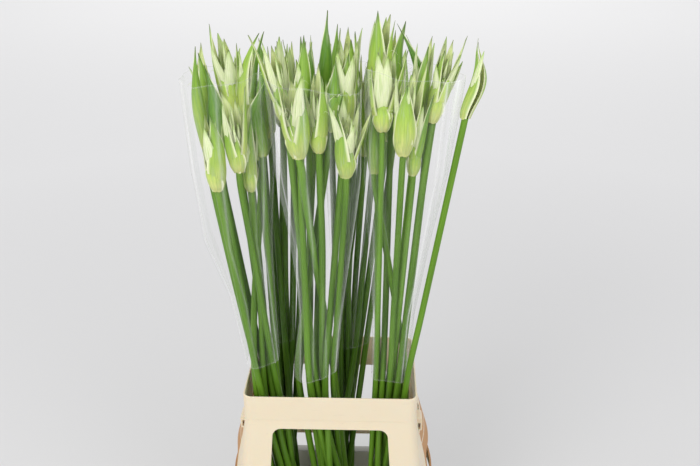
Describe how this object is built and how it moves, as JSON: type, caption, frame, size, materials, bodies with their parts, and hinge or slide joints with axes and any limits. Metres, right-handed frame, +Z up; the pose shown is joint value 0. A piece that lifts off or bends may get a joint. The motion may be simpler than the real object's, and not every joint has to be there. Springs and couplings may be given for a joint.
{
  "type": "sleeved nerine bunches in bucket",
  "caption": "Green nerine stems with pale closed and half-open bud heads, bunched in clear flared sleeves and standing in water in a bucket under a windowed ivory collar.",
  "frame": {"origin": "middle of the bucket's underside, at the floor", "axes": "+Z up along the stems, +Y from the front seen in the picture to the back, +X to the right as seen from the front"},
  "size_m": [0.401, 0.25, 1.019],
  "materials": {
    "bucketGrey": "satin",
    "collarIvory": "satin",
    "waterClear": "clear, still",
    "nerineFlesh": "smooth green stem, papery pale green head",
    "filmClear": "clear wrinkled film"
  },
  "bodies": {
    "root": {"bucket": "bucketGrey", "collar_backRight": "collarIvory", "collar_front": "collarIvory", "collar_left": "collarIvory", "nerine_centre_01": "nerineFlesh", "nerine_centre_02": "nerineFlesh", "nerine_centre_03": "nerineFlesh", "nerine_centre_04": "nerineFlesh", "nerine_centre_05": "nerineFlesh", "nerine_centre_06": "nerineFlesh", "nerine_centre_07": "nerineFlesh", "nerine_centre_08": "nerineFlesh", "nerine_centre_09": "nerineFlesh", "nerine_centre_10": "nerineFlesh", "nerine_left_01": "nerineFlesh", "nerine_left_02": "nerineFlesh", "nerine_left_03": "nerineFlesh", "nerine_left_04": "nerineFlesh", "nerine_left_05": "nerineFlesh", "nerine_left_06": "nerineFlesh", "nerine_left_07": "nerineFlesh", "nerine_left_08": "nerineFlesh", "nerine_left_09": "nerineFlesh", "nerine_left_10": "nerineFlesh", "nerine_loose_01": "nerineFlesh", "nerine_rearLeft_01": "nerineFlesh", "nerine_rearLeft_02": "nerineFlesh", "nerine_rearLeft_03": "nerineFlesh", "nerine_rearLeft_04": "nerineFlesh", "nerine_rearLeft_05": "nerineFlesh", "nerine_rearLeft_06": "nerineFlesh", "nerine_rearLeft_07": "nerineFlesh", "nerine_rearLeft_08": "nerineFlesh", "nerine_rearLeft_09": "nerineFlesh", "nerine_rearLeft_10": "nerineFlesh", "nerine_rearRight_01": "nerineFlesh", "nerine_rearRight_02": "nerineFlesh", "nerine_rearRight_03": "nerineFlesh", "nerine_rearRight_04": "nerineFlesh", "nerine_rearRight_05": "nerineFlesh", "nerine_rearRight_06": "nerineFlesh", "nerine_rearRight_07": "nerineFlesh", "nerine_rearRight_08": "nerineFlesh", "nerine_rearRight_09": "nerineFlesh", "nerine_rearRight_10": "nerineFlesh", "nerine_right_01": "nerineFlesh", "nerine_right_02": "nerineFlesh", "nerine_right_03": "nerineFlesh", "nerine_right_04": "nerineFlesh", "nerine_right_05": "nerineFlesh", "nerine_right_06": "nerineFlesh", "nerine_right_07": "nerineFlesh", "nerine_right_08": "nerineFlesh", "nerine_right_09": "nerineFlesh", "sleeve_centre": "filmClear", "sleeve_left": "filmClear", "sleeve_rearLeft": "filmClear", "sleeve_rearRight": "filmClear", "sleeve_right": "filmClear", "water": "waterClear"}
  },
  "joints": []
}
